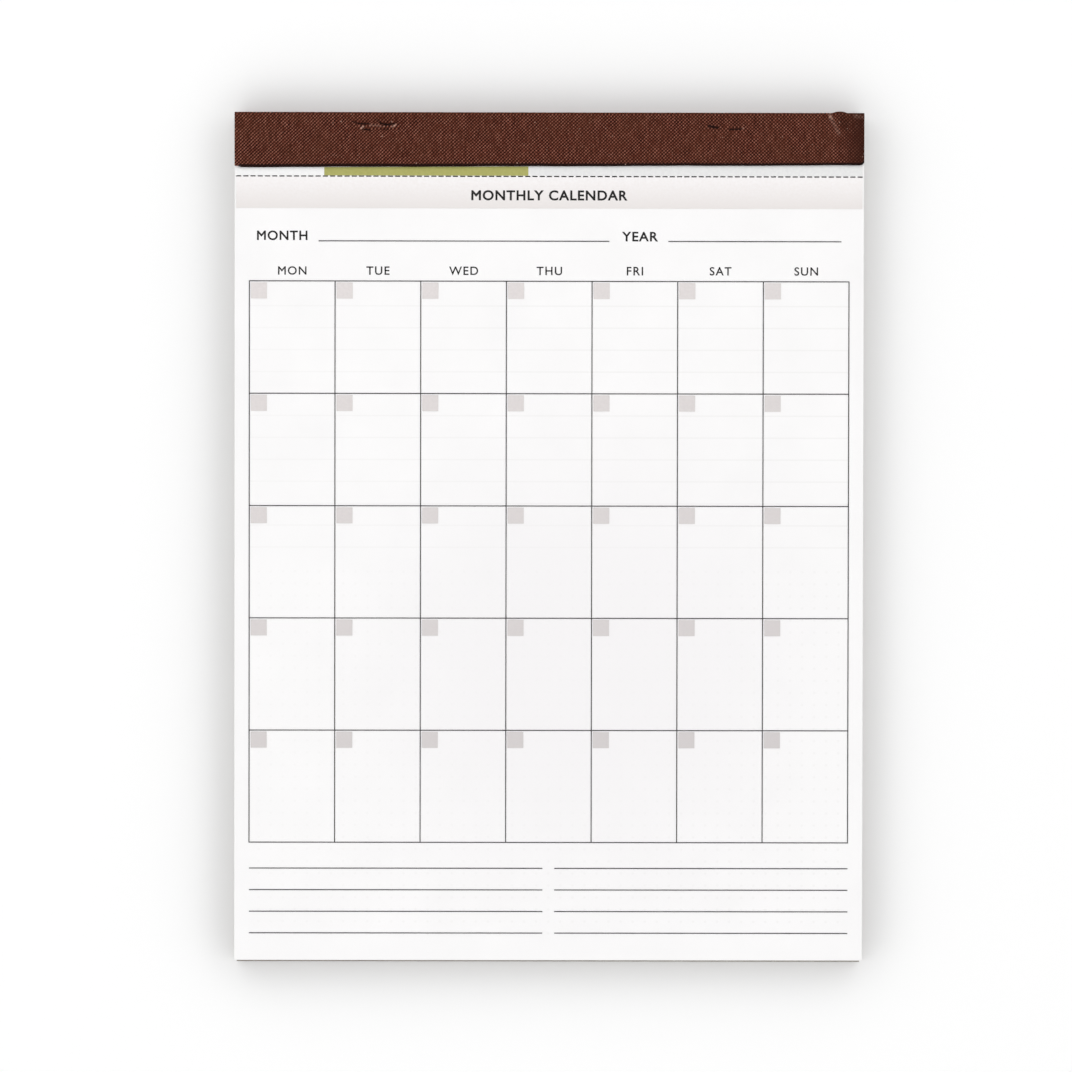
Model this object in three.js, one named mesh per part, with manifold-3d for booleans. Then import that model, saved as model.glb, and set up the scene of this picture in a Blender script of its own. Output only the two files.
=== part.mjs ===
// A desk pad calendar: a block of perforated sheets on a greyboard back, stapled through the head
// and bound there with a strip of brown book cloth that folds over the front, the head and the back.
// The pad lies on its back with the printed face up. X runs across the sheet, Y up the page to the
// bound head, Z up through the pad. The origin is the centre of the underside.
import * as THREE from "three";
import { mergeVertices } from "three/addons/utils/BufferGeometryUtils.js";
import Module from "manifold-3d";

const wasm = await Module();
wasm.setup();

// All sizes are in millimetres.

// Sheets
const sheetWidth = 215.9;
const sheetHeight = 292.4; // the bottom leaf
const leafThickness = 0.12;
const leafCount = 50;
const footLean = 1.7; // the top leaf ends this much short of the bottom one

// Greyboard back, as large as the bottom leaf
const boardThickness = 1.25;

// Book cloth strip
const clothThickness = 0.5;
const flapDepth = 18.45; // front flap at its left end
const flapSkew = 1.05; // the flap's free edge climbs this much towards the right end
const flapEdgeRound = 0.3;
const backFlapDepth = 24;
const foldRadius = 0.7;

// The glue line between a piece and what it lies on
const glueLine = 0.02;

// Wire staples through the head, under the cloth
const stapleSetback = [4.6, 5.1]; // left and right, from the sheets' head edge to the wire's middle
const stapleOffset = [-58.4, 60.3]; // left and right, from the middle of the sheet
const crownWidth = 12.7;
const wireThickness = 0.6;
const wireWidth = 0.8;
const wireBend = 0.9;
const crownBite = 0.3; // how far the crown is pressed into the sheets
const clinchLength = 4;
const stapleClearance = 0.2;

// What the staples and the gluing leave in the cloth
const blisterMargin = 2; // how far a blister runs past the end of its crown
const blisterHalfWidth = 1.6;
const blisterHeight = 0.4;
const pleatFromEnd = 7.2; // the small pleat at the head's right end
const pleatSetback = 2.6;
const pleatLength = 8;
const pleatHalfWidth = 1.1;
const pleatHeight = 0.45;
const pleatLean = 43; // degrees

// Perforation that each leaf tears off along
const perforationDrop = 21.45; // from the sheets' head edge
const slitLength = 1.55;
const slitWidth = 0.3;
const slitPitch = 2.48;

// Print on the top leaf, measured down from the sheets' head edge or up from the leaf's foot
const inkThickness = 0.05;
const inkGap = 0.1; // between the print and the cloth, and between the print and the perforation
const ruleWidth = 0.3;
const colourBlockInset = 30.7; // from the left edge of the sheet
const colourBlockLength = 70;
const bandDepth = 10.7; // header band, below the perforation
const fillInDrop = 43.5; // the two fill-in rules
const monthRuleStart = 28.8;
const monthRuleLength = 99.7;
const yearRuleStart = 148.8;
const yearRuleLength = 59.4;
const gridDrop = 57.4;
const gridMargin = 5.05;
const gridFoot = 40.5; // from the grid's lowest line to the foot
const weekRows = 5;
const weekDays = 7;
const dateBoxSide = 6;
const noteFoot = 9.45; // from the lowest note line to the foot
const notePitch = 7.43;
const noteRows = 4;
const noteGutter = 4.1;

// Levels of the stack, from the desk up
const boardBase = clothThickness + glueLine;
const blockBase = boardBase + boardThickness + glueLine;
const blockThickness = leafCount * leafThickness;
const blockTop = blockBase + blockThickness;
const flapUnderside = blockTop + glueLine;
const flapTop = flapUnderside + clothThickness;
const outerHead = glueLine + clothThickness;
const leafFoot = sheetHeight - footLean; // the top leaf's foot, below the head edge
const through = 1; // how far a cutter runs past the face it opens

const paper = new THREE.MeshStandardMaterial({ color: "#fbfaf8", roughness: 0.85, metalness: 0 });
const greyboard = new THREE.MeshStandardMaterial({ color: "#948d83", roughness: 0.92, metalness: 0 });
const bookCloth = new THREE.MeshStandardMaterial({ color: "#573228", roughness: 0.8, metalness: 0 });
const stapleWire = new THREE.MeshStandardMaterial({ color: "#b9bbbd", roughness: 0.3, metalness: 1 });
const greenInk = new THREE.MeshStandardMaterial({ color: "#a9a862", roughness: 0.7, metalness: 0 });
const stubInk = new THREE.MeshStandardMaterial({ color: "#e8e8e7", roughness: 0.8, metalness: 0 });
const bandInk = new THREE.MeshStandardMaterial({ color: "#efebe9", roughness: 0.8, metalness: 0 });
const dateInk = new THREE.MeshStandardMaterial({ color: "#d9d4d4", roughness: 0.8, metalness: 0 });
const ruleInk = new THREE.MeshStandardMaterial({ color: "#5f5b5f", roughness: 0.7, metalness: 0 });

// A closed three.js geometry as a solid that can be cut and joined.
function solidOf(geometry) {
  const bare = geometry.clone();
  bare.deleteAttribute("normal");
  bare.deleteAttribute("uv");
  const merged = mergeVertices(bare, 1e-4);
  const mesh = new wasm.Mesh({
    numProp: 3,
    vertProperties: merged.getAttribute("position").array,
    triVerts: new Uint32Array(merged.index.array),
  });
  return new wasm.Manifold(mesh);
}

function geometryOf(solid) {
  const mesh = solid.getMesh();
  const geometry = new THREE.BufferGeometry();
  geometry.setAttribute("position", new THREE.BufferAttribute(mesh.vertProperties, 3));
  geometry.setIndex(new THREE.BufferAttribute(mesh.triVerts, 1));
  geometry.computeVertexNormals();
  return geometry;
}

function named(name, geometry, material) {
  const mesh = new THREE.Mesh(geometry, material);
  mesh.name = name;
  return mesh;
}

// A block between two corners.
function slab(x0, x1, y0, y1, z0, z1) {
  const geometry = new THREE.BoxGeometry(x1 - x0, y1 - y0, z1 - z0);
  return geometry.translate((x0 + x1) / 2, (y0 + y1) / 2, (z0 + z1) / 2);
}

// A side profile, drawn as (Y, Z), pushed along X across the whole sheet.
function acrossSheet(profile) {
  const options = { depth: sheetWidth, bevelEnabled: false, curveSegments: 6 };
  const geometry = new THREE.ExtrudeGeometry(profile, options);
  geometry.translate(0, 0, -sheetWidth / 2);
  const toSide = new THREE.Matrix4().makeBasis(
    new THREE.Vector3(0, 1, 0),
    new THREE.Vector3(0, 0, 1),
    new THREE.Vector3(1, 0, 0),
  );
  return geometry.applyMatrix4(toSide);
}

const sides = [-1, 1];
const legX = crownWidth / 2 - wireThickness / 2; // middle of a leg, from the middle of the staple
const halfSlotX = wireThickness / 2 + stapleClearance;
const halfSlotY = wireWidth / 2 + stapleClearance;

// The holes that both legs of one staple make, centred on the staple.
function legHoles(bottom, top) {
  return sides.map((side) => {
    const x = side * legX;
    return slab(x - halfSlotX, x + halfSlotX, -halfSlotY, halfSlotY, bottom, top);
  });
}

// Cuts the same shapes out of a solid at both staples.
function cutAtStaples(solid, cutters) {
  let cut = solid;
  for (const [i, offset] of stapleOffset.entries()) {
    for (const cutter of cutters) {
      cut = cut.subtract(solidOf(cutter.clone().translate(offset, -stapleSetback[i], 0)));
    }
  }
  return cut;
}

// The sheets: one block, its foot leaning, slit right through along the perforation, pierced by the
// staple legs and dented by the crowns.
function pageBlock() {
  const side = new THREE.Shape();
  side.moveTo(0, 0);
  side.lineTo(0, blockThickness);
  side.lineTo(-leafFoot, blockThickness);
  side.lineTo(-sheetHeight, 0);
  side.closePath();
  let block = solidOf(acrossSheet(side));

  const slitCount = Math.floor(sheetWidth / slitPitch);
  const slit = new THREE.BoxGeometry(slitLength, slitWidth, blockThickness + 2 * through);
  for (let i = 0; i < slitCount; i++) {
    const x = (i - (slitCount - 1) / 2) * slitPitch;
    block = block.subtract(solidOf(slit.clone().translate(x, -perforationDrop, blockThickness / 2)));
  }

  const reach = crownWidth / 2 + stapleClearance;
  const bed = blockThickness - crownBite;
  const dent = slab(-reach, reach, -halfSlotY, halfSlotY, bed, blockThickness + through);
  const holes = legHoles(-through, blockThickness + through);
  return geometryOf(cutAtStaples(block, [dent, ...holes]));
}

// The greyboard: leg holes, and a groove on the underside that each clinched leg is pressed into.
function backingBoard() {
  const board = slab(-sheetWidth / 2, sheetWidth / 2, -sheetHeight, 0, 0, boardThickness);
  const outer = crownWidth / 2 + stapleClearance;
  const inner = crownWidth / 2 - clinchLength - stapleClearance;
  const grooves = sides.map((side) => {
    const ends = [side * inner, side * outer].sort((a, b) => a - b);
    return slab(ends[0], ends[1], -halfSlotY, halfSlotY, -through, wireThickness + glueLine);
  });
  const holes = legHoles(-through, boardThickness + through);
  return geometryOf(cutAtStaples(solidOf(board), [...grooves, ...holes]));
}

// One staple: flat wire bent down at both ends of the crown and clinched inwards under the board.
function staple() {
  const bottom = boardBase;
  const top = blockTop - crownBite + wireThickness;
  const outer = crownWidth / 2;
  const inner = outer - wireThickness;
  const tip = outer - clinchLength;
  const innerBend = wireBend - wireThickness;
  const wire = new THREE.Shape();
  wire.moveTo(-tip, bottom);
  wire.lineTo(-tip, bottom + wireThickness);
  wire.absarc(-inner + innerBend, bottom + wireBend, innerBend, (3 / 2) * Math.PI, Math.PI, true);
  wire.absarc(-inner + innerBend, top - wireBend, innerBend, Math.PI, Math.PI / 2, true);
  wire.absarc(inner - innerBend, top - wireBend, innerBend, Math.PI / 2, 0, true);
  wire.absarc(inner - innerBend, bottom + wireBend, innerBend, 0, -Math.PI / 2, true);
  wire.lineTo(tip, bottom + wireThickness);
  wire.lineTo(tip, bottom);
  wire.absarc(outer - wireBend, bottom + wireBend, wireBend, -Math.PI / 2, 0);
  wire.absarc(outer - wireBend, top - wireBend, wireBend, 0, Math.PI / 2);
  wire.absarc(-outer + wireBend, top - wireBend, wireBend, Math.PI / 2, Math.PI);
  wire.absarc(-outer + wireBend, bottom + wireBend, wireBend, Math.PI, (3 / 2) * Math.PI);
  wire.closePath();
  const options = { depth: wireWidth, bevelEnabled: false, curveSegments: 5 };
  const geometry = new THREE.ExtrudeGeometry(wire, options);
  return geometry.rotateX(Math.PI / 2).translate(0, wireWidth / 2, 0);
}

// The cloth strip: front flap, fold over the head, back flap. The front flap's free edge is out of
// square, the cloth rides up over each crown, and a small pleat stands at the head's right end.
function headBinding() {
  const strip = new THREE.Shape();
  strip.moveTo(-backFlapDepth, 0);
  strip.lineTo(outerHead - foldRadius, 0);
  strip.absarc(outerHead - foldRadius, foldRadius, foldRadius, -Math.PI / 2, 0);
  strip.absarc(outerHead - foldRadius, flapTop - foldRadius, foldRadius, 0, Math.PI / 2);
  strip.absarc(flapEdgeRound - flapDepth, flapTop - flapEdgeRound, flapEdgeRound, Math.PI / 2, Math.PI);
  strip.lineTo(-flapDepth, flapUnderside);
  strip.lineTo(glueLine, flapUnderside);
  strip.lineTo(glueLine, clothThickness);
  strip.lineTo(-backFlapDepth, clothThickness);
  strip.closePath();

  const wrapped = acrossSheet(strip);
  const corners = wrapped.getAttribute("position");
  for (let i = 0; i < corners.count; i++) {
    const onFreeEdge = corners.getY(i) < flapEdgeRound - flapDepth + glueLine && corners.getZ(i) > blockTop;
    if (onFreeEdge && corners.getX(i) > 0) corners.setY(i, corners.getY(i) + flapSkew);
  }
  let cloth = solidOf(wrapped);

  const crownTop = blockTop - crownBite + wireThickness;
  const reach = crownWidth / 2 + stapleClearance;
  for (const [i, offset] of stapleOffset.entries()) {
    const blister = new THREE.SphereGeometry(1, 24, 12);
    blister.scale(crownWidth / 2 + blisterMargin, blisterHalfWidth, blisterHeight);
    blister.translate(offset, -stapleSetback[i], flapTop);
    cloth = cloth.add(solidOf(blister));
  }
  const pocket = slab(-reach, reach, -halfSlotY, halfSlotY, flapUnderside - through, crownTop + glueLine);
  cloth = cutAtStaples(cloth, [pocket]);

  const pleat = new THREE.SphereGeometry(1, 24, 12);
  pleat.scale(pleatHalfWidth, pleatLength / 2, pleatHeight);
  pleat.rotateZ(THREE.MathUtils.degToRad(pleatLean));
  pleat.translate(sheetWidth / 2 - pleatFromEnd, -pleatSetback, flapTop);
  return geometryOf(cloth.add(solidOf(pleat)));
}

// Where the cloth's free edge crosses a given X, below the head edge.
function flapEdgeAt(x) {
  return -flapDepth + flapSkew * (x / sheetWidth + 1 / 2);
}

// A field of ink on the stub, from the cloth's edge down to the perforation.
function stubField(x0, x1) {
  const foot = -perforationDrop + slitWidth / 2 + inkGap;
  const field = new THREE.Shape();
  field.moveTo(x0, foot);
  field.lineTo(x1, foot);
  field.lineTo(x1, flapEdgeAt(x1) - inkGap);
  field.lineTo(x0, flapEdgeAt(x0) - inkGap);
  field.closePath();
  return new THREE.ExtrudeGeometry(field, { depth: inkThickness, bevelEnabled: false });
}

// A rectangle of ink with its top left corner at the mesh's own position.
function inkField(width, height) {
  return slab(0, width, -height, 0, 0, inkThickness);
}

// The ruled calendar grid: one net of lines round the days.
function calendarGrid(dayWidth, rowHeight) {
  const half = ruleWidth / 2;
  const right = weekDays * dayWidth + half;
  const bottom = -weekRows * rowHeight - half;
  let net = solidOf(slab(-half, right, bottom, half, 0, inkThickness));
  for (let row = 0; row < weekRows; row++) {
    for (let day = 0; day < weekDays; day++) {
      const x0 = day * dayWidth + half;
      const x1 = (day + 1) * dayWidth - half;
      const y0 = -(row + 1) * rowHeight + half;
      const y1 = -row * rowHeight - half;
      net = net.subtract(solidOf(slab(x0, x1, y0, y1, -through, inkThickness + through)));
    }
  }
  return geometryOf(net);
}

// Everything printed on the top leaf, in a group that lies on the leaf with its origin at the head
// edge's left end.
function printedFace() {
  const face = new THREE.Group();
  face.position.set(-sheetWidth / 2, 0, blockTop + glueLine);

  const blockEnd = colourBlockInset + colourBlockLength;
  const spans = [
    ["stub_tint_left", 0, colourBlockInset, stubInk],
    ["stub_colour_block", colourBlockInset, blockEnd, greenInk],
    ["stub_tint_right", blockEnd, sheetWidth, stubInk],
  ];
  for (const [name, start, end, ink] of spans) {
    const field = stubField(start - sheetWidth / 2, end - sheetWidth / 2).translate(sheetWidth / 2, 0, 0);
    face.add(named(name, field, ink));
  }

  const band = named("header_band", inkField(sheetWidth, bandDepth), bandInk);
  band.position.y = -perforationDrop - slitWidth / 2 - inkGap;
  face.add(band);

  const fillIns = [
    ["month_rule", monthRuleStart, monthRuleLength],
    ["year_rule", yearRuleStart, yearRuleLength],
  ];
  for (const [name, start, length] of fillIns) {
    const rule = named(name, inkField(length, ruleWidth), ruleInk);
    rule.position.set(start, -fillInDrop, 0);
    face.add(rule);
  }

  const gridWidth = sheetWidth - 2 * gridMargin;
  const dayWidth = gridWidth / weekDays;
  const rowHeight = (leafFoot - gridDrop - gridFoot) / weekRows;
  const grid = named("calendar_grid", calendarGrid(dayWidth, rowHeight), ruleInk);
  grid.position.set(gridMargin, -gridDrop, 0);
  face.add(grid);

  const boxInk = dateBoxSide - ruleWidth / 2 - glueLine;
  for (let row = 0; row < weekRows; row++) {
    for (let day = 0; day < weekDays; day++) {
      const box = named(`date_box_${row + 1}_${day + 1}`, inkField(boxInk, boxInk), dateInk);
      const x = day * dayWidth + ruleWidth / 2 + glueLine;
      const y = -row * rowHeight - ruleWidth / 2 - glueLine;
      box.position.set(gridMargin + x, -gridDrop + y, 0);
      face.add(box);
    }
  }

  const noteLength = (gridWidth - noteGutter) / 2;
  for (let row = 0; row < noteRows; row++) {
    for (const [column, side] of ["left", "right"].entries()) {
      const rule = named(`note_rule_${side}_${row + 1}`, inkField(noteLength, ruleWidth), ruleInk);
      const x = gridMargin + column * (noteLength + noteGutter);
      rule.position.set(x, noteFoot + (noteRows - 1 - row) * notePitch - leafFoot, 0);
      face.add(rule);
    }
  }
  return face;
}

// Every piece is placed from the head edge of the sheets, at the middle of the width.
const pad = new THREE.Group();
pad.position.y = (sheetHeight - outerHead) / 2;

const board = named("backing_board", backingBoard(), greyboard);
board.position.z = boardBase;
pad.add(board);

const sheets = named("page_block", pageBlock(), paper);
sheets.position.z = blockBase;
pad.add(sheets);

for (const [i, name] of ["staple_left", "staple_right"].entries()) {
  const wire = named(name, staple(), stapleWire);
  wire.position.set(stapleOffset[i], -stapleSetback[i], 0);
  pad.add(wire);
}

pad.add(named("head_binding", headBinding(), bookCloth));
pad.add(printedFace());

const deskPadCalendar = new THREE.Group();
deskPadCalendar.add(pad);

export default deskPadCalendar;
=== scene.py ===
import bpy
import math
import random
from mathutils import Matrix, Vector


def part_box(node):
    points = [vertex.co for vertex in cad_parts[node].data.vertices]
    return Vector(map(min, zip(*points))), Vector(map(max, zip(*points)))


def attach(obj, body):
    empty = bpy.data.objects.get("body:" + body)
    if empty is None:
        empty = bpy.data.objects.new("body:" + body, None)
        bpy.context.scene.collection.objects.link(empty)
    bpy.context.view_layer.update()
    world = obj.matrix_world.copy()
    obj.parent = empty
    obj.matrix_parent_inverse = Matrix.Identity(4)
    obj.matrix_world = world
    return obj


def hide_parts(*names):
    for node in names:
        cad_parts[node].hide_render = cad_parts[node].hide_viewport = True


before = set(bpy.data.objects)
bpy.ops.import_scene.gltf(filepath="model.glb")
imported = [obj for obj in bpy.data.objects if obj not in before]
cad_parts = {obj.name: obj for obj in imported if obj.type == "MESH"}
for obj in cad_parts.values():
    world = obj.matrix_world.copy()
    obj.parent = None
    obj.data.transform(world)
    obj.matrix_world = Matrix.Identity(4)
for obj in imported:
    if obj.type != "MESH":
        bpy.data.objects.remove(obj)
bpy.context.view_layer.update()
mm = 0.001


# Greyboard back. A sheet of dense grey pulp board, cut to the size of the bottom leaf. The block of
# sheets lies on it and the staples are clinched under it.

def linear(code):
    """An sRGB hex colour as the linear RGBA that the nodes read."""
    parts = [int(code[i:i + 2], 16) / 255 for i in (1, 3, 5)]
    return [p / 12.92 if p <= 0.04045 else ((p + 0.055) / 1.055) ** 2.4 for p in parts] + [1.0]


def add(tree, kind, settings=None, inputs=None):
    """A node with its settings, its socket values and the links into it."""
    node = tree.nodes.new("ShaderNode" + kind)
    for name, value in (settings or {}).items():
        setattr(node, name, value)
    for socket, value in (inputs or {}).items():
        if isinstance(value, bpy.types.NodeSocket):
            tree.links.new(value, node.inputs[socket])
        else:
            node.inputs[socket].default_value = value
    return node


def finish(name, roughness, settings=None):
    """A new material with its surface shader, and that shader's own even values."""
    material = bpy.data.materials.new(name)
    material.use_nodes = True
    shader = material.node_tree.nodes["Principled BSDF"]
    shader.inputs["Roughness"].default_value = roughness
    for socket, value in (settings or {}).items():
        shader.inputs[socket].default_value = value
    return material, material.node_tree, shader


def wear(piece, *materials):
    """The piece has these materials and no others."""
    piece.data.materials.clear()
    for material in materials:
        piece.data.materials.append(material)


# Pulp board, pressed from waste paper: mid grey, with pale fibres and dark ink flecks, dead matt.
board_pulp, tree, shader = finish("greyboard_pressed_pulp", 0.93, {"IOR": 1.45})
place = add(tree, "TexCoord").outputs["Object"]
fibre_place = add(tree, "Mapping", inputs={"Vector": place, "Scale": (1.0, 0.35, 1.0)}).outputs[0]
clouds = add(tree, "TexNoise", inputs={"Vector": place, "Scale": 1 / (9 * mm), "Detail": 3.0})
fibres = add(tree, "TexNoise", inputs={"Vector": fibre_place, "Scale": 1 / (0.7 * mm), "Detail": 4.0})
flecks = add(tree, "TexVoronoi", inputs={"Vector": place, "Scale": 1 / (1.9 * mm)})
shade = add(tree, "Mix", {"data_type": "RGBA"},
            {0: clouds.outputs[0], 6: linear("#8c857b"), 7: linear("#9d968b")}).outputs[2]
pale = add(tree, "MapRange", inputs={0: fibres.outputs[0], 1: 0.56, 2: 0.72, 3: 0.0, 4: 0.5}).outputs[0]
shade = add(tree, "Mix", {"data_type": "RGBA"}, {0: pale, 6: shade, 7: linear("#b9b3a8")}).outputs[2]
dark = add(tree, "MapRange",
           inputs={0: flecks.outputs["Distance"], 1: 0.05, 2: 0.13, 3: 0.6, 4: 0.0}).outputs[0]
shade = add(tree, "Mix", {"data_type": "RGBA"}, {0: dark, 6: shade, 7: linear("#5d5850")}).outputs[2]
tree.links.new(shade, shader.inputs["Base Color"])
relief = add(tree, "Bump", inputs={"Height": fibres.outputs[0], "Strength": 0.5, "Distance": 0.04 * mm})
tree.links.new(relief.outputs[0], shader.inputs["Normal"])
wear(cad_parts["backing_board"], board_pulp)


# Sheets. Fifty leaves of white offset paper, knocked up to an edge and stapled through the head. Each
# has the row of slits that it tears off along. The foot of the pile leans out towards the bottom, and
# a narrow rim of the board shows past it.
block_low, block_high = (Vector(corner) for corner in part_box("page_block"))
leaf_count = 50
face_z = block_high.z
leaf_pitch = (face_z - block_low.z) / leaf_count
leaf_paper = 0.96 * leaf_pitch
foot_lean = 1.7 * mm
lean_curve = 0.95
board_rim = 0.42 * mm
side_zone = 0.2 * mm
perforation_drop = 21.45 * mm
slit_size = (1.75 * mm, 0.4 * mm)
slit_pitch = 2.48 * mm
head_gap = 0.12 * mm


def box(name, low, high):
    """A rectangular block between two corners, with its place in its mesh."""
    bpy.ops.object.select_all(action="DESELECT")
    centre = (Vector(low) + Vector(high)) / 2
    bpy.ops.mesh.primitive_cube_add(size=1, location=centre, scale=Vector(high) - Vector(low))
    bpy.ops.object.transform_apply(location=True, rotation=True, scale=True)
    piece = bpy.context.object
    piece.name = piece.data.name = name
    return piece


def apply(piece, kind, **settings):
    """Adds a modifier to the piece and applies it."""
    bpy.ops.object.select_all(action="DESELECT")
    bpy.context.view_layer.objects.active = piece
    piece.select_set(True)
    modifier = piece.modifiers.new(kind.lower(), kind)
    for name, value in settings.items():
        setattr(modifier, name, value)
    bpy.ops.object.modifier_apply(modifier=modifier.name)


def shift_where(piece, test, offset):
    """Moves the vertices that pass the test."""
    bpy.ops.object.select_all(action="DESELECT")
    bpy.context.view_layer.objects.active = piece
    piece.select_set(True)
    bpy.ops.object.mode_set(mode="EDIT")
    bpy.ops.mesh.select_mode(type="VERT")
    bpy.ops.mesh.select_all(action="DESELECT")
    bpy.ops.object.mode_set(mode="OBJECT")
    for vertex in piece.data.vertices:
        vertex.select = test(vertex.co)
    bpy.ops.object.mode_set(mode="EDIT")
    bpy.ops.transform.translate(value=offset)
    bpy.ops.object.mode_set(mode="OBJECT")


leaf_low = Vector((block_low.x, block_low.y, 0))
leaf_high = Vector((block_high.x, block_high.y - head_gap, leaf_paper))
leaf = box("leaf", leaf_low, leaf_high)
perforation_y = block_high.y - perforation_drop
slit_count = int((block_high.x - block_low.x) / slit_pitch)
first_slit = -(slit_count - 1) / 2 * slit_pitch
half_slit = Vector((slit_size[0] / 2, slit_size[1] / 2, leaf_pitch))
slit_centre = Vector((first_slit, perforation_y, leaf_paper / 2))
blade = box("perforating_blade", slit_centre - half_slit, slit_centre + half_slit)
apply(blade, "ARRAY", count=slit_count, use_relative_offset=False, use_constant_offset=True,
      constant_offset_displace=(slit_pitch, 0, 0))
apply(leaf, "BOOLEAN", operation="DIFFERENCE", solver="EXACT", object=blade)
bpy.data.objects.remove(blade)

# The leaves were knocked up by hand in small lifts, a few at a time, which stand proud or back at the
# sides and the foot by so many mm. The top leaf lies true.
knock = random.Random(7)
side_knock, foot_knock = (-0.16, 0.0), (-0.12, 0.1)
leaves = []
lift = Vector((0, 0))
for number in range(leaf_count):
    if number % knock.choice((2, 3, 4)) == 0:
        lift = Vector((knock.uniform(*side_knock), knock.uniform(*foot_knock))) * mm
    if number == leaf_count - 1:
        lift = Vector((0, 0))
    copy = leaf.copy()
    copy.data = leaf.data.copy()
    bpy.context.collection.objects.link(copy)
    height = number / (leaf_count - 1)
    foot = board_rim * (1 - height) + foot_lean * height ** lean_curve + 0.5 * lift.y
    copy.data.transform(Matrix.Translation((0, 0, block_low.z + leaf_pitch * number)))
    shift_where(copy, lambda co: co.y < 0, (0, foot, 0))
    shift_where(copy, lambda co: co.x > block_high.x - side_zone, (lift.x, 0, 0))
    shift_where(copy, lambda co: co.x < block_low.x + side_zone, (-0.7 * lift.x, 0, 0))
    leaves.append(copy)
bpy.data.objects.remove(leaf)
top_leaf = leaves.pop()
top_leaf.name = top_leaf.data.name = "top_leaf"
bpy.ops.object.select_all(action="DESELECT")
for copy in leaves:
    copy.select_set(True)
bpy.context.view_layer.objects.active = leaves[0]
bpy.ops.object.join()
lower_leaves = leaves[0]
lower_leaves.name = lower_leaves.data.name = "lower_leaves"

# Uncoated offset paper: warm white, matt, with a faint cloudiness and a fibre grain along the sheet.
paper, tree, shader = finish("paper_uncoated_offset_white", 0.88, {"IOR": 1.47})
place = add(tree, "TexCoord").outputs["Object"]
grain_place = add(tree, "Mapping", inputs={"Vector": place, "Scale": (1.0, 0.5, 1.0)}).outputs[0]
grain = add(tree, "TexNoise", inputs={"Vector": grain_place, "Scale": 1 / (0.35 * mm), "Detail": 3.0})
clouds = add(tree, "TexNoise", inputs={"Vector": place, "Scale": 1 / (16 * mm), "Detail": 2.0})
blend = add(tree, "Math", {"operation": "MULTIPLY_ADD"}, {0: grain.outputs[0], 1: 0.4, 2: clouds.outputs[0]})
amount = add(tree, "MapRange", inputs={0: blend.outputs[0], 1: 0.4, 2: 1.0}).outputs[0]
shade = add(tree, "Mix", {"data_type": "RGBA"},
            {0: amount, 6: linear("#f8f7f7"), 7: linear("#fcfbfb")}).outputs[2]
tree.links.new(shade, shader.inputs["Base Color"])
relief = add(tree, "Bump", inputs={"Height": grain.outputs[0], "Strength": 0.25, "Distance": 0.01 * mm})
tree.links.new(relief.outputs[0], shader.inputs["Normal"])

# The walls of the slits: raw fibre, painted dark grey as the shade deep inside each slit, so that each slit
# reads as a dark dash.
slit_wall_painted_shade, tree, shader = finish("paper_slit_walls_painted_shade", 0.95, {"IOR": 1.47})
place = add(tree, "TexCoord").outputs["Object"]
fibre = add(tree, "TexNoise", inputs={"Vector": place, "Scale": 1 / (0.2 * mm), "Detail": 2.0})
shade = add(tree, "Mix", {"data_type": "RGBA"},
            {0: fibre.outputs[0], 6: linear("#3c393b"), 7: linear("#5b5759")}).outputs[2]
tree.links.new(shade, shader.inputs["Base Color"])

# The guillotined edges of the leaves: light is lost between them, so the pile's sides read as a light
# grey with fine darker layers.
cut_sides, tree, shader = finish("paper_edges_guillotined", 0.95, {"IOR": 1.47})
place = add(tree, "TexCoord").outputs["Object"]
layer_place = add(tree, "Mapping", inputs={"Vector": place, "Scale": (0.03, 0.03, 1.0)}).outputs[0]
layers = add(tree, "TexNoise", inputs={"Vector": layer_place, "Scale": 1 / (0.16 * mm), "Detail": 2.0})
amount = add(tree, "MapRange", inputs={0: layers.outputs[0], 1: 0.35, 2: 0.65}).outputs[0]
shade = add(tree, "Mix", {"data_type": "RGBA"},
            {0: amount, 6: linear("#aca8a3"), 7: linear("#c6c2bd")}).outputs[2]
tree.links.new(shade, shader.inputs["Base Color"])


def wear_leaf(piece, face_paper):
    """The leaf's faces have that paper, its slits the walls painted with shade and its outer sides the cut
    edges.
    """
    wear(piece, face_paper, slit_wall_painted_shade, cut_sides)
    for face in piece.data.polygons:
        at_row = abs(face.center.y - perforation_y) < slit_size[1]
        inboard = abs(face.center.x) < block_high.x - 2 * side_zone
        if abs(face.normal.z) > 0.5:
            face.material_index = 0
        else:
            face.material_index = 1 if at_row and inboard else 2


wear_leaf(lower_leaves, paper)

# The top leaf is the same paper with the ruling of its other side showing through: twelve lines
# 7.53 mm apart, then dots 4.15 mm apart, both a shade darker than the sheet.
show_edge = 103 * mm
row_margin = 2 * mm
line_start, line_pitch, line_rows = 65.9 * mm, 7.53 * mm, 12
line_core, line_blur = 0.12 * mm, 0.34 * mm
dot_start, dot_end, dot_pitch = 157.1 * mm, 284 * mm, 4.15 * mm
dot_core, dot_blur = 0.3 * mm, 0.6 * mm
printed_paper = paper.copy()
printed_paper.name = "paper_uncoated_offset_show_through"
tree = printed_paper.node_tree
shader = tree.nodes["Principled BSDF"]
clean = shader.inputs["Base Color"].links[0].from_socket
place = add(tree, "TexCoord").outputs["Object"]
split = add(tree, "SeparateXYZ", inputs={0: place})
across = add(tree, "Math", {"operation": "ABSOLUTE"}, {0: split.outputs[0]}).outputs[0]
down = add(tree, "Math", {"operation": "SUBTRACT"}, {0: block_high.y, 1: split.outputs[1]}).outputs[0]
inside = add(tree, "Math", {"operation": "LESS_THAN"}, {0: across, 1: show_edge}).outputs[0]


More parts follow.
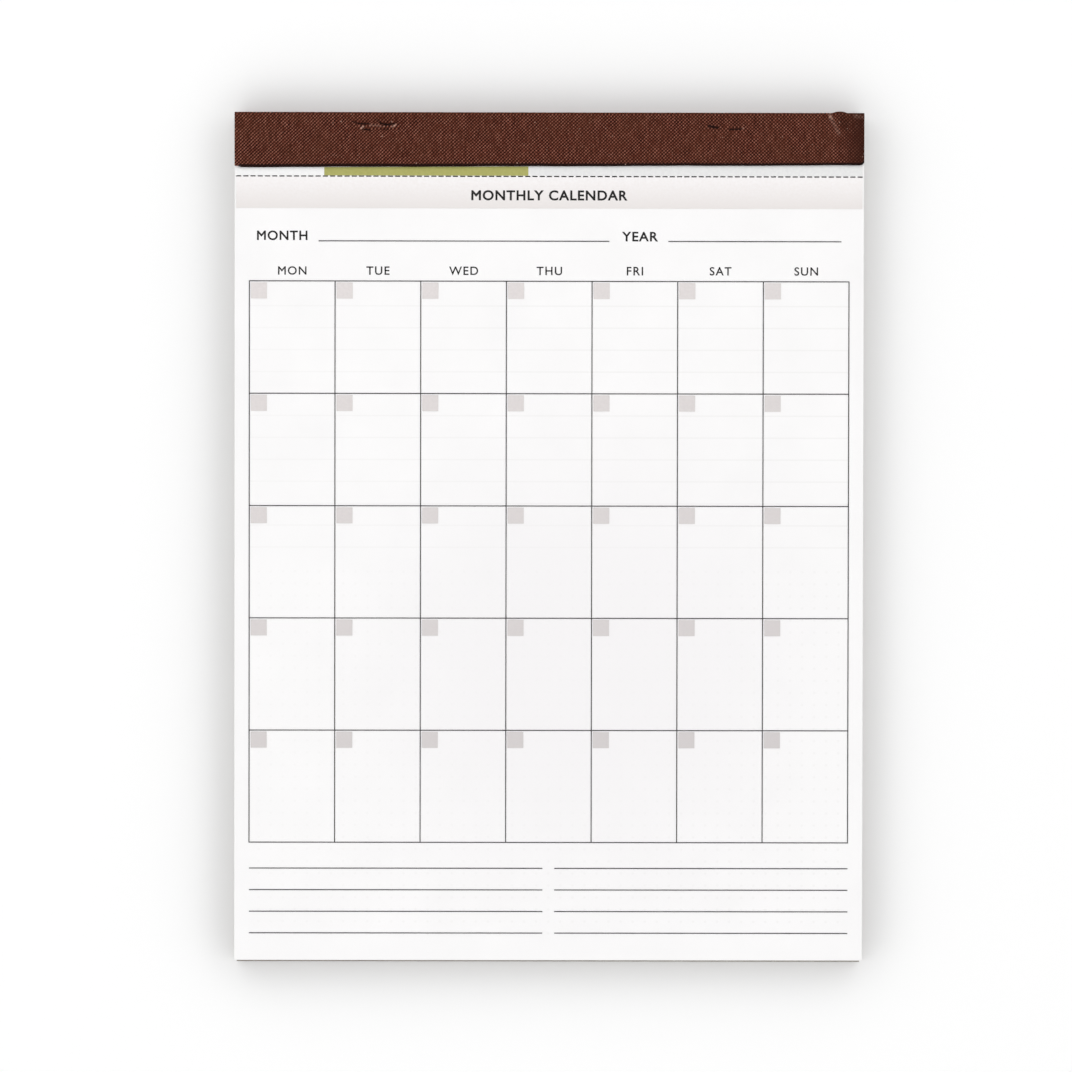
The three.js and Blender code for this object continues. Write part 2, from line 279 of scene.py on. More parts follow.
def span(value, low, high):
    """1 where the value lies between low and high, otherwise 0."""
    over = add(tree, "Math", {"operation": "GREATER_THAN"}, {0: value, 1: low}).outputs[0]
    under = add(tree, "Math", {"operation": "LESS_THAN"}, {0: value, 1: high}).outputs[0]
    return add(tree, "Math", {"operation": "MULTIPLY"}, {0: over, 1: under}).outputs[0]


def from_repeat(value, start, pitch):
    """How far the value lies from the nearest mark of a row, in metres."""
    moved = add(tree, "Math", {"operation": "SUBTRACT"}, {0: value, 1: start - pitch / 2}).outputs[0]
    wrapped = add(tree, "Math", {"operation": "FLOORED_MODULO"}, {0: moved, 1: pitch}).outputs[0]
    centred = add(tree, "Math", {"operation": "SUBTRACT"}, {0: wrapped, 1: pitch / 2}).outputs[0]
    return add(tree, "Math", {"operation": "ABSOLUTE"}, {0: centred}).outputs[0]


row_off = from_repeat(down, line_start, line_pitch)
on_line = add(tree, "MapRange", inputs={0: row_off, 1: line_core, 2: line_blur, 3: 1.0, 4: 0.0}).outputs[0]
last_line = line_start + (line_rows - 1) * line_pitch
in_rows = span(down, line_start - row_margin, last_line + row_margin)
lines = add(tree, "Math", {"operation": "MULTIPLY"}, {0: on_line, 1: in_rows}).outputs[0]
dot_x = from_repeat(split.outputs[0], 0, dot_pitch)
dot_y = from_repeat(down, dot_start, dot_pitch)
square_x = add(tree, "Math", {"operation": "MULTIPLY"}, {0: dot_x, 1: dot_x}).outputs[0]
square_y = add(tree, "Math", {"operation": "MULTIPLY_ADD"}, {0: dot_y, 1: dot_y, 2: square_x}).outputs[0]
dot_off = add(tree, "Math", {"operation": "SQRT"}, {0: square_y}).outputs[0]
on_dot = add(tree, "MapRange", inputs={0: dot_off, 1: dot_core, 2: dot_blur, 3: 1.0, 4: 0.0}).outputs[0]
in_dots = span(down, dot_start - row_margin, dot_end)
dots = add(tree, "Math", {"operation": "MULTIPLY"}, {0: on_dot, 1: in_dots}).outputs[0]
dots = add(tree, "Math", {"operation": "MULTIPLY"}, {0: dots, 1: 0.7}).outputs[0]
ruling = add(tree, "Math", {"operation": "ADD"}, {0: lines, 1: dots}).outputs[0]
ruling = add(tree, "Math", {"operation": "MULTIPLY"}, {0: ruling, 1: inside}).outputs[0]
# It shows more to the right.
faint = add(tree, "MapRange",
            inputs={0: split.outputs[0], 1: -90 * mm, 2: 10 * mm, 3: 0.3, 4: 0.55}).outputs[0]
ruling = add(tree, "Math", {"operation": "MULTIPLY"}, {0: ruling, 1: faint}).outputs[0]
shade = add(tree, "Mix", {"data_type": "RGBA"}, {0: ruling, 6: clean, 7: linear("#efeeed")}).outputs[2]
# Below the middle the sheet is a breath greyer.
grey_middle = (12 * mm, -45 * mm, face_z)
from_middle = add(tree, "VectorMath", {"operation": "DISTANCE"}, {0: place, 1: grey_middle})
dull = add(tree, "MapRange", {"interpolation_type": "SMOOTHSTEP"},
           {0: from_middle.outputs["Value"], 1: 20 * mm, 2: 110 * mm, 3: 0.75, 4: 0.0}).outputs[0]
shade = add(tree, "Mix", {"data_type": "RGBA"}, {0: dull, 6: shade, 7: linear("#f4f2f3")}).outputs[2]
tree.links.new(shade, shader.inputs["Base Color"])
wear_leaf(top_leaf, printed_paper)
for piece in (top_leaf, lower_leaves):
    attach(piece, "root")
    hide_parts("page_block")


# Print. Thin films of offset ink on the top leaf: the green and grey fields on the stub and the band
# under the perforation, a grey square for each date, and the dark ruled lines.

def ink(name, code, second, roughness=0.8, wash=None):
    """A printed colour that wavers a little, and may turn into another down the page: a printed fade on the
    band, painted shade on the date squares.
    """
    made, tree, shader = finish(name, roughness, {"IOR": 1.47})
    place = add(tree, "TexCoord").outputs["Object"]
    mottle = add(tree, "TexNoise", inputs={"Vector": place, "Scale": 1 / (0.9 * mm), "Detail": 4.0})
    amount = add(tree, "MapRange", inputs={0: mottle.outputs[0], 1: 0.3, 2: 0.7}).outputs[0]
    shade = add(tree, "Mix", {"data_type": "RGBA"},
                {0: amount, 6: linear(code), 7: linear(second)}).outputs[2]
    if wash:
        start, end, far, lean = wash
        down_page = add(tree, "VectorMath", {"operation": "DOT_PRODUCT"}, {0: place, 1: (lean, 1, 0)})
        fall = add(tree, "MapRange", inputs={0: down_page.outputs["Value"], 1: start, 2: end}).outputs[0]
        shade = add(tree, "Mix", {"data_type": "RGBA"}, {0: fall, 6: shade, 7: linear(far)}).outputs[2]
    tree.links.new(shade, shader.inputs["Base Color"])
    return made


def print_with(material, names):
    """These printed fields have that ink."""
    for name in names:
        wear(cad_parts[name], material)


def film(node, material, low, high):
    """A thin film of ink between two corners, in place of that field's plain solid."""
    piece = box(node + "_film", low, high)
    apply(piece, "BEVEL", width=0.01 * mm, segments=1, limit_method="ANGLE")
    wear(piece, material)
    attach(piece, "root")
    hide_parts(node)
    return piece


head_y = block_high.y
bare_rim = 0.5 * mm
flap_skew = 1.05 * mm
cloth_climb = flap_skew / (block_high.x - block_low.x)

# Olive green: a solid colour, laid on flat.
green = ink("ink_olive_green_offset", "#a9a85f", "#b0af66", 0.7)
print_with(green, ["stub_colour_block"])

# Pale grey tint on the stub, painted lighter at the left to offset the deeper shade that the cloth
# flap casts there. Its upper edge keeps clear of the cloth's free edge, which climbs to the right.
stub_painted_lighter = ink("ink_pale_grey_tint_painted_lighter", "#f2f2f2", "#f8f8f7")
full_stub = ink("ink_pale_grey_tint", "#e5e5e5", "#ececeb")
stubs = (("stub_tint_left", stub_painted_lighter, bare_rim, 0), ("stub_tint_right", full_stub, 0, bare_rim))
for node, tint, left, right in stubs:
    low, high = (Vector(corner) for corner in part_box(node))
    field = film(node, tint, low + Vector((left, 0, 0)), high - Vector((right, 0, 0)))
    centre = (low + high) / 2
    trim = -cloth_climb * (high.x - low.x)
    shift_where(field, lambda co: co.x < centre.x and co.y > centre.y, (0, trim, 0))

# Warm grey band, palest along the perforation and deepest along its lower edge.
band_wash = (head_y - 23 * mm, head_y - 32.5 * mm, "#e9e4e2", 0.0)
band = ink("ink_warm_grey_band", "#f4f0ef", "#f8f5f5", 0.85, band_wash)
band_low, band_high = (Vector(corner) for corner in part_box("header_band"))
rim = Vector((bare_rim, 0, 0))
film("header_band", band, band_low + rim, band_high - rim)

# Light grey date squares, a little clear of the rules. Painted shade darkens them towards the foot and a
# little to the right, where the light is weaker.
date_painted_falloff = (head_y - 40 * mm, head_y - 250 * mm, "#d1cccc", -0.2)
dates = ink("ink_light_grey_tint", "#dfd9d8", "#e5dfde", 0.85, date_painted_falloff)
square_gap, square_side = 0.38 * mm, 5.5 * mm
for node in sorted(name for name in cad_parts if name.startswith("date_box_")):
    low, high = (Vector(corner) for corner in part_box(node))
    left, top = low.x + square_gap, high.y - square_gap
    film(node, dates, (left, top - square_side, low.z), (left + square_side, top, high.z))

# Dark grey ruled lines.
rules = ink("ink_dark_grey_rule", "#2b282b", "#383539")
ruled = ["calendar_grid", "month_rule", "year_rule"]
print_with(rules, ruled + [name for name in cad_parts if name.startswith("note_rule_")])


# Headings. Plain sans capitals in near-black ink: a general heading in the band, the two labels of
# the lines to fill in, and a short name over each day's column.
lettering = ink("ink_near_black_letters", "#0d0b0c", "#171415", 0.8)
letter_film = 0.03 * mm
letter_gap = 0.004 * mm
title_weight, label_weight, day_weight = 0.026, 0.020, 0.010
title_tracking, day_tracking = 1.12, 1.16


def heading(name, words, cap_height, centre_x, base_drop, weight, tracking, on_z, width=None):
    """A line of printed capitals, its baseline so far below the head of the sheet."""
    bpy.ops.object.select_all(action="DESELECT")
    bpy.ops.object.text_add()
    piece = bpy.context.object
    piece.name = name
    piece.data.body = words
    piece.data.size = 1
    piece.data.space_character = tracking
    piece.data.extrude = 0.01
    piece.data.bevel_depth = weight
    piece.data.bevel_resolution = 0
    piece.data.resolution_u = 6
    bpy.ops.object.convert(target="MESH")
    piece = bpy.context.object
    piece.data.name = name
    low = Vector([min(v.co[i] for v in piece.data.vertices) for i in range(3)])
    high = Vector([max(v.co[i] for v in piece.data.vertices) for i in range(3)])
    tall = cap_height / (high.y - low.y)
    wide = width / (high.x - low.x) if width else tall
    piece.scale = (wide, tall, letter_film / (high.z - low.z))
    bpy.ops.object.transform_apply(location=False, rotation=False, scale=True)
    middle = wide * (low.x + high.x) / 2
    piece.location = (centre_x - middle, head_y - base_drop - tall * low.y, on_z + letter_film / 2)
    bpy.ops.object.transform_apply(location=True, rotation=False, scale=False)
    wear(piece, lettering)
    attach(piece, "root")


on_paper = face_z + letter_gap
on_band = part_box("header_band")[1][2] + letter_gap
heading("heading_title", "MONTHLY CALENDAR", 3.5 * mm, 0, 29.7 * mm,
        title_weight, title_tracking, on_band, 53.6 * mm)
heading("heading_month", "MONTH", 3.3 * mm, -91.65 * mm, 43.45 * mm,
        label_weight, title_tracking, on_paper, 17.3 * mm)
heading("heading_year", "YEAR", 3.3 * mm, 31.1 * mm, 43.65 * mm,
        label_weight, title_tracking, on_paper, 12.4 * mm)
grid_low, grid_high = (Vector(corner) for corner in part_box("calendar_grid"))
days = ("MON", "TUE", "WED", "THU", "FRI", "SAT", "SUN")
rule_width = 0.3 * mm
day_width = (grid_high.x - grid_low.x - rule_width) / len(days)
for column, day in enumerate(days):
    centre = grid_low.x + rule_width / 2 + (column + 0.5) * day_width
    heading(f"heading_day_{column + 1}", day, 2.9 * mm, centre, 55.3 * mm,
            day_weight, day_tracking, on_paper)


# Staples. Flat galvanised wire driven from the front through the sheets and the board. The crown lies
# under the cloth and the legs are turned in and pressed into the board.

# Drawn zinc-coated wire: bright grey with fine streaks along its length.
wire, tree, shader = finish("steel_wire_galvanised_drawn", 0.3, {"Metallic": 1.0})
place = add(tree, "TexCoord").outputs["Object"]
streak_place = add(tree, "Mapping", inputs={"Vector": place, "Scale": (0.05, 1.0, 1.0)}).outputs[0]
streaks = add(tree, "TexNoise", inputs={"Vector": streak_place, "Scale": 1 / (0.08 * mm), "Detail": 2.0})
shade = add(tree, "Mix", {"data_type": "RGBA"},
            {0: streaks.outputs[0], 6: linear("#a9abae"), 7: linear("#cfd1d3")}).outputs[2]
tree.links.new(shade, shader.inputs["Base Color"])
rough = add(tree, "MapRange", inputs={0: streaks.outputs[0], 3: 0.24, 4: 0.42}).outputs[0]
tree.links.new(rough, shader.inputs["Roughness"])
for name in ("staple_left", "staple_right"):
    wear(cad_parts[name], wire)


# Head binding. One strip of brown book cloth, starched and glued over the front of the head, the head
# edge and the back. It is pulled tight over the staples, and a small pleat stands near its right end.
cloth_thick = 0.5 * mm
glue_line = 0.02 * mm
back_depth = 24 * mm
flap_depth = 18.45 * mm
fold_inner = 0.2 * mm
edge_round = 0.3 * mm
front_z = block_high.z + glue_line
back_z = cloth_thick
half_width = (block_high.x - block_low.x) / 2
flat_y = head_y + glue_line - fold_inner
fold_drop = head_y - flat_y
arc = fold_inner * math.pi / 2
rise = front_z - back_z - 2 * fold_inner


def spaced(low, high, coarse, fine, zones):
    """Positions from low to high, closer together inside the zones."""
    places = [low]
    while places[-1] < high - 0.4 * fine:
        now = places[-1]
        close = any(start - fine < now < end for start, end in zones)
        places.append(now + (fine if close else coarse))
    places[-1] = high
    return places


def smooth(value, near, far):
    """1 up to near, 0 from far on, with an even slope between."""
    t = min(1, max(0, (value - near) / (far - near)))
    return 1 - t * t * (3 - 2 * t)


# Marks in the front flap, in mm: from and to (place across the sheet, depth below its head), the
# half-widths of the mark's crest and foot, its height, and its tone: painted highlight and rubbing
# lighten it (+), painted shade in the dents darkens it (-).
marks = [
    ((-64.75, 4.60), (-52.05, 4.60), 0.45, 1.10, 0.42, 0.0),
    ((-67.25, 2.90), (-64.80, 3.70), 0.12, 0.65, -0.20, -0.8),
    ((-65.20, 3.60), (-62.20, 3.78), 0.18, 0.60, -0.24, -1.2),
    ((-63.55, 5.40), (-61.75, 5.60), 0.16, 0.52, -0.14, -1.2),
    ((-59.10, 2.15), (-57.80, 3.40), 0.10, 0.60, -0.14, -0.5),
    ((-57.80, 3.65), (-56.10, 4.00), 0.28, 0.75, -0.24, -1.2),
    ((-56.10, 4.00), (-53.60, 3.75), 0.28, 0.70, -0.24, -1.2),
    ((-53.60, 3.75), (-51.20, 2.30), 0.08, 0.45, -0.12, -0.6),
    ((-57.40, 5.35), (-55.20, 5.25), 0.10, 0.45, -0.10, -0.7),
    ((-64.45, 4.98), (-63.75, 4.70), 0.04, 0.33, 0.05, 1.5),
    ((-61.60, 4.30), (-61.40, 4.15), 0.04, 0.30, 0.05, 0.7),
    ((-61.30, 4.33), (-56.40, 4.55), 0.08, 0.32, 0.04, 0.45),
    ((-53.95, 4.66), (-52.75, 4.18), 0.05, 0.36, 0.05, 1.2),
    ((53.90, 5.10), (66.70, 5.10), 0.45, 2.00, 0.34, 0.0),
    ((54.60, 4.25), (57.60, 4.84), 0.20, 0.70, -0.16, -1.1),
    ((61.80, 5.35), (65.40, 5.20), 0.18, 0.60, -0.16, -1.0),
    ((54.20, 4.70), (54.90, 4.90), 0.10, 0.40, 0.04, 0.3),
    ((58.00, 4.60), (58.70, 4.80), 0.10, 0.40, 0.03, 0.2),
    ((66.00, 5.05), (66.50, 4.95), 0.10, 0.45, 0.04, 0.5),
    ((95.90, -0.50), (96.40, 1.40), 0.10, 0.60, 0.36, 0.6),
    ((96.40, 1.40), (99.20, 6.60), 0.15, 1.00, 0.22, 0.28),
    ((99.40, 0.65), (101.50, 4.10), 0.60, 2.40, -0.10, -0.25),
    ((97.70, -0.60), (101.20, -0.50), 0.20, 0.80, 0.10, 0.25),
    ((104.60, 0.65), (107.30, 1.00), 0.20, 1.30, 0.05, 0.2),
]


def marked(x, depth):
    """(height in metres, tone) of the front flap at a place."""
    height = tone = 0.0
    at = Vector((x / mm, depth / mm))
    for start, end, crest, foot, high, tone_shift in marks:
        if abs(at.x - (start[0] + end[0]) / 2) > abs(end[0] - start[0]) / 2 + foot:
            continue
        start, along = Vector(start), Vector(end) - Vector(start)
        part = min(1, max(0, (at - start).dot(along) / along.length_squared))
        near = smooth((at - start - part * along).length, crest, foot)
        height += high * near
        tone += tone_shift * near
    slack = 0.03 * math.sin(at.x / 17) * math.sin(at.y / 4.5) + 0.02 * math.sin(at.x / 5.3 + 2)
    return (height + slack * smooth(abs(at.y - 9), 5, 8.5)) * mm, tone


corner_reach, corner_wear = 1.6 * mm, 0.9 * mm
nick_depth, nick_from, nick_to = 0.5 * mm, 0.9 * mm, 1.5 * mm


def hem(x):
    """How far the front flap reaches below its fold at x. One corner is rounded by wear, one is nicked."""
    in_corner = max(0, (x - half_width + corner_reach) / corner_reach)
    worn_corner_and_end_shade = corner_wear * (1 - math.sqrt(1 - in_corner ** 2))
    nick = nick_depth * smooth(x, -half_width + nick_from, -half_width + nick_to)
    wavy = 0.05 * mm * math.sin(x / (9 * mm)) + 0.03 * mm * math.sin(x / (2.7 * mm))
    return flap_depth - flap_skew * (x / half_width + 1) / 2 - fold_drop + wavy - worn_corner_and_end_shade - nick


# A poke from inside makes the head edge stand out a little near its right end.
poke_x, poke_height = 99.6 * mm, 0.5 * mm
poke_across, poke_along = (0.7 * mm, 2.8 * mm), (1 * mm, 4 * mm)
# Glue and painted shade darken the last strip above the free edge, a little less of it to the right.
glue_and_shade_depth, glue_and_shade_loss, glue_and_shade_fade = 0.7 * mm, 0.15 * mm, 0.3 * mm
deepest_dent = -0.3 * mm


def over_head(x, run):
    """A point of the cloth's inner side. run is measured along the strip from the front fold."""
    lifted, tone = marked(x, fold_drop - run) if run < 3 * mm else (0.0, 0.0)
    poke = poke_height * smooth(abs(x - poke_x), *poke_across) * smooth(abs(run), *poke_along)
    glue_and_shade_reach = glue_and_shade_depth - glue_and_shade_loss * (x / half_width + 1) / 2
    past_nick = smooth(-x, half_width - 2 * mm, half_width - 1.2 * mm)
    tone -= 1.4 * smooth(run + hem(x), glue_and_shade_reach, glue_and_shade_reach + glue_and_shade_fade) * past_nick
    if run <= 0:
        settled = max(lifted, deepest_dent) * smooth(run, -0.6 * mm, 0)
        return (x, flat_y + run + poke, front_z + settled), tone
    if run <= arc:
        turn = run / fold_inner
        out, down = fold_inner * math.sin(turn), fold_inner * (1 - math.cos(turn))
        return (x, flat_y + poke + out, front_z - down), tone
    if run <= arc + rise:
        return (x, flat_y + poke + fold_inner, front_z - fold_inner - (run - arc)), tone
    if run <= 2 * arc + rise:
        turn = (run - arc - rise) / fold_inner
        out, up = fold_inner * math.cos(turn), fold_inner * (1 - math.sin(turn))
        return (x, flat_y + out, back_z + up), 0.0
    return (x, flat_y - (run - 2 * arc - rise), back_z), 0.0


# The grid's lines across the strip are close-set over the staples and at the pleat, and those along
# it near the fold and the free edge.
close_columns = [(-69 * mm, -49 * mm), (52 * mm, 69 * mm), (half_width - 13 * mm, half_width)]
columns = spaced(-half_width, half_width, 1.1 * mm, 0.34 * mm, close_columns)
close_rows = [(0, 0.5), (0.95, 1)]
front_parts = spaced(0, 1, 1 / 26, 0.32 / 18, close_rows)[::-1]
back_run = back_depth - fold_drop
wrap_parts = ((0, arc, 4), (arc, rise, 12), (arc + rise, arc, 4), (2 * arc + rise, back_run, 26))
wrap_runs = [start + length * i / steps for start, length, steps in wrap_parts for i in range(1, steps + 1)]

# The strip is laid out flat as a grid, then folded over the head row by row.
bpy.ops.object.select_all(action="DESELECT")
bpy.ops.mesh.primitive_grid_add(x_subdivisions=len(columns) - 1, size=1,
                                y_subdivisions=len(front_parts) + len(wrap_runs) - 1)
binding = bpy.context.object
binding.name = binding.data.name = "binding_cloth"
strip_map = binding.data.uv_layers.active
strip_map.name = "strip"
# Each point keeps its tone: painted highlight and rubbing lighten it, painted shade and glue darken it.
painted_light_rub_and_glue = binding.data.attributes.new("painted_light_rub_and_glue", "FLOAT", "POINT")
flat_place = []
for index, vertex in enumerate(binding.data.vertices):
    row, column = divmod(index, len(columns))
    x = columns[column]
    if row < len(front_parts):
        run = -hem(x) * front_parts[row]
    else:
        run = wrap_runs[row - len(front_parts)]
    vertex.co, painted_light_rub_and_glue.data[index].value = over_head(x, run)
    flat_place.append((x / mm, run / mm))
for loop in binding.data.loops:
    strip_map.data[loop.index].uv = flat_place[loop.vertex_index]
bpy.ops.object.mode_set(mode="EDIT")
bpy.ops.mesh.select_all(action="SELECT")
bpy.ops.mesh.normals_make_consistent(inside=False)
bpy.ops.object.mode_set(mode="OBJECT")
if max(binding.data.polygons, key=lambda face: face.center.z).normal.z < 0:
    bpy.ops.object.mode_set(mode="EDIT")
    bpy.ops.mesh.flip_normals()
    bpy.ops.object.mode_set(mode="OBJECT")
apply(binding, "SOLIDIFY", thickness=cloth_thick, offset=1.0, use_even_offset=True, material_offset_rim=1)
apply(binding, "BEVEL", width=edge_round, segments=2, limit_method="ANGLE",
      angle_limit=math.radians(50), material=1)
bpy.ops.object.shade_smooth_by_angle(angle=math.radians(45))

# Plain-weave book cloth, dyed and filled with starch: threads 0.6 mm apart each way, so that the
# crossings read as a fine diagonal check. Painted highlight and shade follow the weave: the raised
# crossings are painted a lighter red-brown and the gaps painted dark. A few threads are slubbed, and
# specks of filler shine pale. Its measures are in mm of the strip.
thread_pitch = (0.607, 0.586)
cloth, tree, shader = finish("book_cloth_brown_plain_weave", 0.72, {"IOR": 1.5, "Specular IOR Level": 0.05})
strip = add(tree, "UVMap", {"uv_map": "strip"}).outputs[0]
waver = add(tree, "TexNoise", inputs={"Vector": strip, "Scale": 0.22, "Detail": 3.0})
bent = add(tree, "VectorMath", {"operation": "MULTIPLY_ADD"},
           {0: waver.outputs["Color"], 1: (0.5, 0.5, 0.0), 2: strip}).outputs[0]
split = add(tree, "SeparateXYZ", inputs={0: bent})
turns = []
for axis in (0, 1):
    phase = add(tree, "Math", {"operation": "MULTIPLY"},
                {0: split.outputs[axis], 1: math.pi / thread_pitch[axis]}).outputs[0]
    turns.append((phase, add(tree, "Math", {"operation": "COSINE"}, {0: phase}).outputs[0]))
check = add(tree, "Math", {"operation": "MULTIPLY"}, {0: turns[0][1], 1: turns[1][1]}).outputs[0]
apart = add(tree, "Math", {"operation": "SUBTRACT"}, {0: turns[0][0], 1: turns[1][0]}).outputs[0]
rising = add(tree, "Math", {"operation": "COSINE"}, {0: apart}).outputs[0]
where = add(tree, "SeparateXYZ", inputs={0: strip}).outputs[0]
# The threads lean into one diagonal at the left end and lie square at the right.
lean = add(tree, "MapRange", inputs={0: where, 1: -108.0, 2: 80.0, 3: 0.36, 4: 0.03}).outputs[0]
weave = add(tree, "Mix", {"data_type": "FLOAT"}, {0: lean, 2: check, 3: rising}).outputs[0]
loose = add(tree, "TexNoise", inputs={"Vector": strip, "Scale": 0.6, "Detail": 2.0})
tension = add(tree, "MapRange", inputs={0: loose.outputs[0], 1: 0.3, 2: 0.7, 3: 0.6, 4: 1.6}).outputs[0]
weave = add(tree, "Math", {"operation": "MULTIPLY"}, {0: weave, 1: tension}).outputs[0]
thread_place = add(tree, "Mapping", inputs={"Vector": strip, "Scale": (1.0, 0.15, 1.0)}).outputs[0]
slubs = add(tree, "TexNoise", inputs={"Vector": thread_place, "Scale": 1.3, "Detail": 3.0})
patches = add(tree, "TexNoise", inputs={"Vector": strip, "Scale": 0.11, "Detail": 3.0})
fuzz = add(tree, "TexNoise", inputs={"Vector": strip, "Scale": 3.4, "Detail": 3.0})
level = add(tree, "Math", {"operation": "MULTIPLY_ADD"}, {0: slubs.outputs[0], 1: 1.4, 2: weave}).outputs[0]
level = add(tree, "Math", {"operation": "MULTIPLY_ADD"}, {0: fuzz.outputs[0], 1: 2.2, 2: level}).outputs[0]
amount = add(tree, "MapRange", inputs={0: level, 1: 1.1, 2: 3.25}).outputs[0]
# The ramp gives the dye, painted lighter on the raised crossings and painted dark in the gaps.
dye_and_weave_shade = add(tree, "ValToRGB", inputs={0: amount})
dye_and_weave_shade.color_ramp.elements[0].color = linear("#190703")
dye_and_weave_shade.color_ramp.elements[1].color = linear("#aa7361")
dye_and_weave_shade.color_ramp.elements.new(0.5).color = linear("#5f2e22")
shade = dye_and_weave_shade.outputs[0]
patch = add(tree, "MapRange", inputs={0: patches.outputs[0], 1: 0.35, 2: 0.7, 3: 0.0, 4: 0.3}).outputs[0]
shade = add(tree, "Mix", {"data_type": "RGBA"}, {0: patch, 6: shade, 7: linear("#532e1e")}).outputs[2]
# Painted shade: the cloth darkens beside the pleat and on to its right end.
worn_corner_and_end_shade = add(tree, "MapRange", inputs={0: where, 1: 98.0, 2: 106.5, 3: 0.0, 4: 0.8}).outputs[0]
shade = add(tree, "Mix", {"data_type": "RGBA"}, {0: worn_corner_and_end_shade, 6: shade, 7: linear("#33170f")}).outputs[2]
# Painted highlight and rubbing pale the raised crossings most; painted shade, with glue near the free
# edge, darkens the dents.
painted_light_and_rub = add(tree, "Attribute", {"attribute_name": "painted_light_rub_and_glue"}).outputs["Fac"]
pale = add(tree, "MapRange", inputs={0: painted_light_and_rub, 1: 0.05, 2: 1.2, 3: 0.0, 4: 1.0}).outputs[0]
proud = add(tree, "MapRange", inputs={0: amount, 3: 0.25, 4: 1.0}).outputs[0]
pale = add(tree, "Math", {"operation": "MULTIPLY"}, {0: pale, 1: proud}).outputs[0]
shade = add(tree, "Mix", {"data_type": "RGBA"}, {0: pale, 6: shade, 7: linear("#cba393")}).outputs[2]
dent = add(tree, "MapRange", inputs={0: painted_light_and_rub, 1: -0.05, 2: -0.9, 3: 0.0, 4: 0.93}).outputs[0]
shade = add(tree, "Mix", {"data_type": "RGBA"}, {0: dent, 6: shade, 7: linear("#170a08")}).outputs[2]
specks = add(tree, "TexVoronoi", inputs={"Vector": strip, "Scale": 0.42, "Randomness": 1.0})
speck = add(tree, "MapRange",
            inputs={0: specks.outputs["Distance"], 1: 0.05, 2: 0.11, 3: 1.0, 4: 0.0}).outputs[0]
bright = add(tree, "MapRange",
             inputs={0: specks.outputs["Color"], 1: 0.6, 2: 0.85, 3: 0.15, 4: 0.85}).outputs[0]
speck = add(tree, "Math", {"operation": "MULTIPLY"}, {0: speck, 1: bright}).outputs[0]
shade = add(tree, "Mix", {"data_type": "RGBA"}, {0: speck, 6: shade, 7: linear("#bd9a8a")}).outputs[2]
tree.links.new(shade, shader.inputs["Base Color"])
relief = add(tree, "Bump", inputs={"Height": level, "Strength": 0.55, "Distance": 0.09 * mm})
tree.links.new(relief.outputs[0], shader.inputs["Normal"])

# The cut edge of the strip: full of glue and starch, so it is nearly black.
cut_edge, tree, shader = finish("book_cloth_cut_edge_glued", 0.6, {"IOR": 1.5, "Specular IOR Level": 0.1})
place = add(tree, "TexCoord").outputs["Object"]
threads = add(tree, "TexNoise", inputs={"Vector": place, "Scale": 1 / (0.3 * mm), "Detail": 2.0})
shade = add(tree, "Mix", {"data_type": "RGBA"},
            {0: threads.outputs[0], 6: linear("#1d1414"), 7: linear("#2e2223")}).outputs[2]
tree.links.new(shade, shader.inputs["Base Color"])
wear(binding, cloth, cut_edge)
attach(binding, "root")
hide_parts("head_binding")


# Floor. A plain white paper sweep that the pad lies on, a hair below its back. It takes the pad's soft
# shadow.
floor_gap = 0.02 * mm
bpy.ops.object.select_all(action="DESELECT")
bpy.ops.mesh.primitive_plane_add(size=6, location=(0, 0, -floor_gap))
bpy.ops.object.transform_apply(location=True, rotation=True, scale=True)
floor = bpy.context.object
floor.name = "floor"
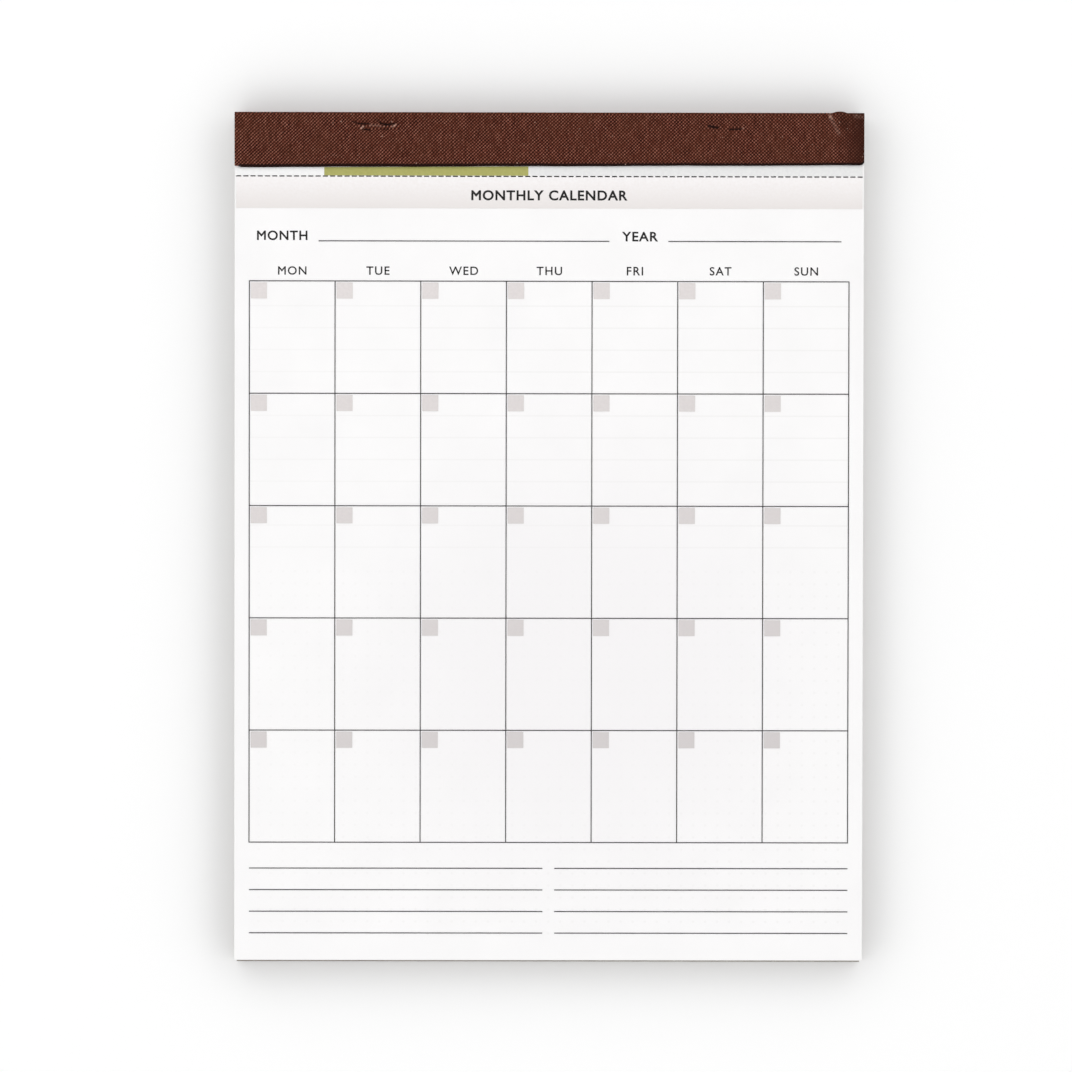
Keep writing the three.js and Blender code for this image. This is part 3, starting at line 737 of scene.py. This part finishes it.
# Matt white paper. The eye sees it white, and the pad's edges get only a little light back from it.
sweep, tree, shader = finish("paper_sweep_matt_white", 1.0, {"Specular IOR Level": 0.0})
paths = add(tree, "LightPath")
seen = add(tree, "Math", {"operation": "MAXIMUM"},
           {0: paths.outputs["Is Camera Ray"], 1: paths.outputs["Is Glossy Ray"]}).outputs[0]
seen = add(tree, "Math", {"operation": "MAXIMUM"},
           {0: seen, 1: paths.outputs["Is Transmission Ray"]}).outputs[0]
shade = add(tree, "Mix", {"data_type": "RGBA"},
            {0: seen, 6: linear("#6e6e6e"), 7: linear("#fdfdfd")}).outputs[2]
tree.links.new(shade, shader.inputs["Base Color"])
glow = add(tree, "Math", {"operation": "MULTIPLY"}, {0: seen, 1: 0.015}).outputs[0]
shader.inputs["Emission Color"].default_value = (1, 1, 1, 1)
tree.links.new(glow, shader.inputs["Emission Strength"])
wear(floor, sweep)

# Light. A white tent, brightest half way up its walls, so that the shadow is soft and the same on all
# sides, with one weak lamp above the head's left corner.
tent_strength = 2.26
tent_greys = ((0.0, 0.15), (0.28, 1.0), (0.48, 1.0), (0.77, 0.15), (1.0, 0.0))
world = bpy.data.worlds.new("white_tent")
bpy.context.scene.world = world
world.use_nodes = True
tree = world.node_tree
upward = add(tree, "SeparateXYZ", inputs={0: add(tree, "TexCoord").outputs["Generated"]}).outputs[2]
walls = add(tree, "ValToRGB", inputs={0: upward})
ramp = walls.color_ramp
for at, grey in tent_greys:
    stop = ramp.elements[0] if at == 0 else ramp.elements[-1] if at == 1 else ramp.elements.new(at)
    stop.position = at
    stop.color = (grey, grey, grey, 1)
background = tree.nodes["Background"]
tree.links.new(walls.outputs[0], background.inputs[0])
background.inputs[1].default_value = tent_strength
lamp_place, lamp_target = Vector((-0.22, 0.3, 0.85)), Vector((-0.1, 0.15, 0))
bpy.ops.object.light_add(type="AREA", location=lamp_place)
lamp = bpy.context.object
lamp.name = "soft_lamp"
lamp.data.shape = "SQUARE"
lamp.data.size = 0.45
lamp.data.energy = 0.3
lamp.rotation_euler = (lamp_target - lamp_place).to_track_quat("-Z", "Y").to_euler()

# Camera. It looks straight down from about 72 cm above the pad, a hair off square. The tilt is in
# degrees.
camera_place = (-5.9 * mm, 6.2 * mm, 723.8 * mm)
camera_tilt = (-0.406, -0.118, 0.097)
bpy.ops.object.camera_add(location=camera_place, rotation=[math.radians(a) for a in camera_tilt])
camera = bpy.context.object
camera.data.lens = 70
camera.data.sensor_width = 36
bpy.context.scene.camera = camera
bpy.context.scene.view_settings.view_transform = "Standard"
